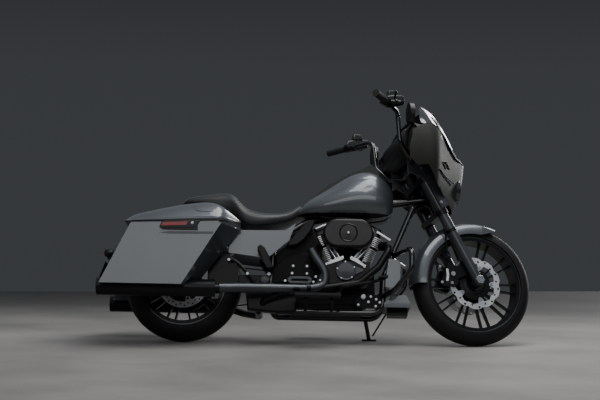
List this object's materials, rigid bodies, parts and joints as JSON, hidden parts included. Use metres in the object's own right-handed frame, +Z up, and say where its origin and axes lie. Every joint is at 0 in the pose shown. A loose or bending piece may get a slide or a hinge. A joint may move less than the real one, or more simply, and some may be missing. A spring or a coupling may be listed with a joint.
{
  "type": "touring motorcycle",
  "caption": "Touring cruiser motorcycle with a fork-mounted fairing, air-cooled V-twin, hard saddlebags and spoked alloy wheels, parked on its side stand.",
  "frame": {"origin": "middle of the footprint's box, on the ground", "axes": "+X towards the front wheel, +Z up from the ground, +Y towards the machine's left; the machine leans to its left onto its side stand"},
  "size_m": [2.4432, 1.0442, 1.4204],
  "materials": {
    "tyre": "matt",
    "wheel_black": "satin",
    "disc_steel": "brushed",
    "paint": "gloss",
    "frame_black": "gloss",
    "engine_black": "satin",
    "engine_grey": "satin",
    "chrome": "polished",
    "exhaust": "satin",
    "rubber": "matt",
    "seat": "satin",
    "black_plastic": "matt",
    "screen": "tinted",
    "lens": "gloss",
    "lamp": "clear",
    "plate": "matt",
    "slider": "satin"
  },
  "bodies": {
    "chassis": {"frame_backbone": "frame_black", "frame_cradle_right": "frame_black", "frame_cradle_left": "frame_black", "rear_frame": "frame_black", "engine_guard": "frame_black", "swingarm": "frame_black", "rear_axle": "disc_steel", "shocks": "frame_black", "rear_caliper": "frame_black", "drive_belt": "rubber", "engine_cases": "engine_black", "cam_cover": "engine_grey", "primary_cover": "engine_black", "cylinders": "engine_black", "rocker_boxes": "engine_black", "pushrods": "chrome", "air_cleaner": "engine_black", "mufflers": "exhaust", "exhaust_pipes": "exhaust", "fuel_tank": "paint", "tank_console": "black_plastic", "rear_fender": "paint", "seat": "seat", "side_covers": "paint", "saddlebag_right": "paint", "saddlebag_left": "paint", "bag_latches": "lens", "bag_brackets": "frame_black", "floorboards": "rubber", "foot_controls": "engine_black", "passenger_pegs": "rubber", "lower_panels": "paint", "chin": "black_plastic", "rear_lights": "lens", "licence_plate": "plate"},
    "fork": {"front_axle": "disc_steel", "fork_tubes": "chrome", "fork_sliders": "slider", "triple_clamps": "frame_black", "fork_covers": "engine_grey", "front_fender": "paint", "front_calipers": "engine_black", "headlight": "lamp", "fairing": "paint", "inner_fairing": "black_plastic", "windscreen": "screen", "handlebar": "frame_black", "grips": "rubber", "hand_controls": "engine_black", "mirrors": "black_plastic"},
    "front_wheel": {"front_tyre": "tyre", "front_wheel": "wheel_black", "front_discs": "disc_steel"},
    "rear_wheel": {"rear_tyre": "tyre", "rear_wheel": "wheel_black", "rear_disc": "disc_steel", "rear_pulley": "wheel_black"},
    "side_stand": {"side_stand": "frame_black"},
    "bag_lid_right": {"bag_lid_right": "paint"},
    "bag_lid_left": {"bag_lid_left": "paint"}
  },
  "joints": [
    {"name": "steering", "type": "hinge", "parent": "chassis", "child": "fork", "pos_m": [0.66116, 0.01966, 0.81972], "axis": [-0.433, 0.1869, 0.8818], "range_deg": [-40, 0]},
    {"name": "front_wheel_spin", "type": "hinge", "parent": "fork", "child": "front_wheel", "pos_m": [0.88577, -0.08837, 0.33022], "axis": [-0.2497, 0.9151, -0.3165], "continuous": true},
    {"name": "rear_wheel_spin", "type": "hinge", "parent": "chassis", "child": "rear_wheel", "pos_m": [-0.73984, -0.08791, 0.32222], "axis": [-0.0013, 0.9781, -0.2079], "continuous": true},
    {"name": "side_stand_fold", "type": "hinge", "parent": "chassis", "child": "side_stand", "pos_m": [0.28909, 0.02898, 0.14437], "axis": [0.1345, 0.9324, 0.3355], "range_deg": [0, 100]},
    {"name": "lid_right_hinge", "type": "hinge", "parent": "chassis", "child": "bag_lid_right", "pos_m": [-0.73791, -0.2436, 0.63829], "axis": [-1, 0, 0.0061], "range_deg": [0, 45]},
    {"name": "lid_left_hinge", "type": "hinge", "parent": "chassis", "child": "bag_lid_left", "pos_m": [-0.73846, 0.18288, 0.54764], "axis": [1, 0, -0.0061], "range_deg": [0, 45]}
  ]
}
